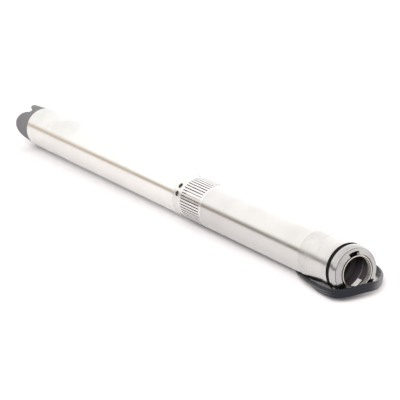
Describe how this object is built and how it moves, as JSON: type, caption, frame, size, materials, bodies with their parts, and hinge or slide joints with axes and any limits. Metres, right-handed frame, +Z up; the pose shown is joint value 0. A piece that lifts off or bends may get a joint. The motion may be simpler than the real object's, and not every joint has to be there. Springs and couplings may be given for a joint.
{
  "type": "solar submersible pump",
  "caption": "Slim steel borehole pump lying on its side: motor tube with a petalled cap, slotted suction neck, pump sleeve, threaded discharge head with check valve, and its flat motor lead",
  "frame": {"origin": "on the floor under the middle of the pump's length", "axes": "+X out of the discharge mouth along the pump's axis, +Z up, -Y towards the side that the picture shows"},
  "size_m": [1.0449, 0.157, 0.0797],
  "materials": {
    "tube_steel": "satin",
    "head_steel": "satin",
    "collar_steel": "turned",
    "lip_steel": "turned",
    "neck_steel": "satin",
    "strainer_steel": "satin",
    "guard_steel": "rolled",
    "screw_steel": "plain",
    "inner_steel": "turned",
    "shaft_steel": "ground",
    "lamination": "stacked",
    "magnet": "sintered",
    "winding": "enamelled",
    "carbon": "smooth",
    "grey_plastic": "moulded",
    "stage_plastic": "moulded",
    "impeller_plastic": "moulded",
    "valve_plastic": "moulded",
    "black_rubber": "moulded",
    "cable_rubber": "extruded",
    "core_sheath": "extruded",
    "tie_plastic": "moulded"
  },
  "bodies": {
    "pump_body": {"motor_end_cap": "grey_plastic", "pressure_diaphragm": "black_rubber", "motor_shell": "tube_steel", "lower_end_shield": "inner_steel", "thrust_bearing": "carbon", "lower_radial_bearing": "carbon", "stator_core": "lamination", "lower_end_winding": "winding", "upper_end_winding": "winding", "stator_can": "inner_steel", "upper_end_shield": "inner_steel", "upper_radial_bearing": "carbon", "shaft_seal": "black_rubber", "suction_interconnector": "neck_steel", "inlet_strainer": "strainer_steel", "pump_sleeve": "tube_steel", "suction_bowl": "stage_plastic", "top_bearing_bush": "black_rubber", "top_bearing_housing": "stage_plastic", "discharge_head": "head_steel", "outlet_boss": "valve_plastic", "valve_seat": "black_rubber", "valve_guide": "valve_plastic", "rubber_ring": "black_rubber", "discharge_collar": "collar_steel", "mouth_ring": "lip_steel", "cable_guard": "guard_steel", "guard_screw_1": "screw_steel", "guard_screw_2": "screw_steel", "cable_plug": "cable_rubber", "guard_cable": "cable_rubber", "lead_hank": "cable_rubber", "core_ends": "core_sheath", "hank_tie": "tie_plastic", "motor_lead": "cable_rubber", "flange_bolt_1": "screw_steel", "flange_bolt_2": "screw_steel", "flange_bolt_3": "screw_steel", "flange_bolt_4": "screw_steel", "stage_chamber_1": "stage_plastic", "stage_chamber_2": "stage_plastic", "stage_chamber_3": "stage_plastic", "stage_chamber_4": "stage_plastic", "stage_chamber_5": "stage_plastic", "stage_chamber_6": "stage_plastic"},
    "rotor": {"motor_shaft": "shaft_steel", "thrust_disc": "shaft_steel", "rotor_core": "lamination", "rotor_magnets": "magnet", "sand_slinger": "black_rubber", "shaft_coupling": "shaft_steel", "pump_shaft": "shaft_steel", "impeller_1": "impeller_plastic", "impeller_2": "impeller_plastic", "impeller_3": "impeller_plastic", "impeller_4": "impeller_plastic", "impeller_5": "impeller_plastic", "impeller_6": "impeller_plastic"},
    "poppet": {"valve_poppet": "valve_plastic"}
  },
  "joints": [
    {"name": "shaft_spin", "type": "hinge", "parent": "pump_body", "child": "rotor", "pos_m": [0, 0, 0.04213], "axis": [1, 0, 0], "continuous": true},
    {"name": "valve_slide", "type": "slide", "parent": "pump_body", "child": "poppet", "axis": [1, 0, 0], "range_m": [0, 0.008]}
  ]
}
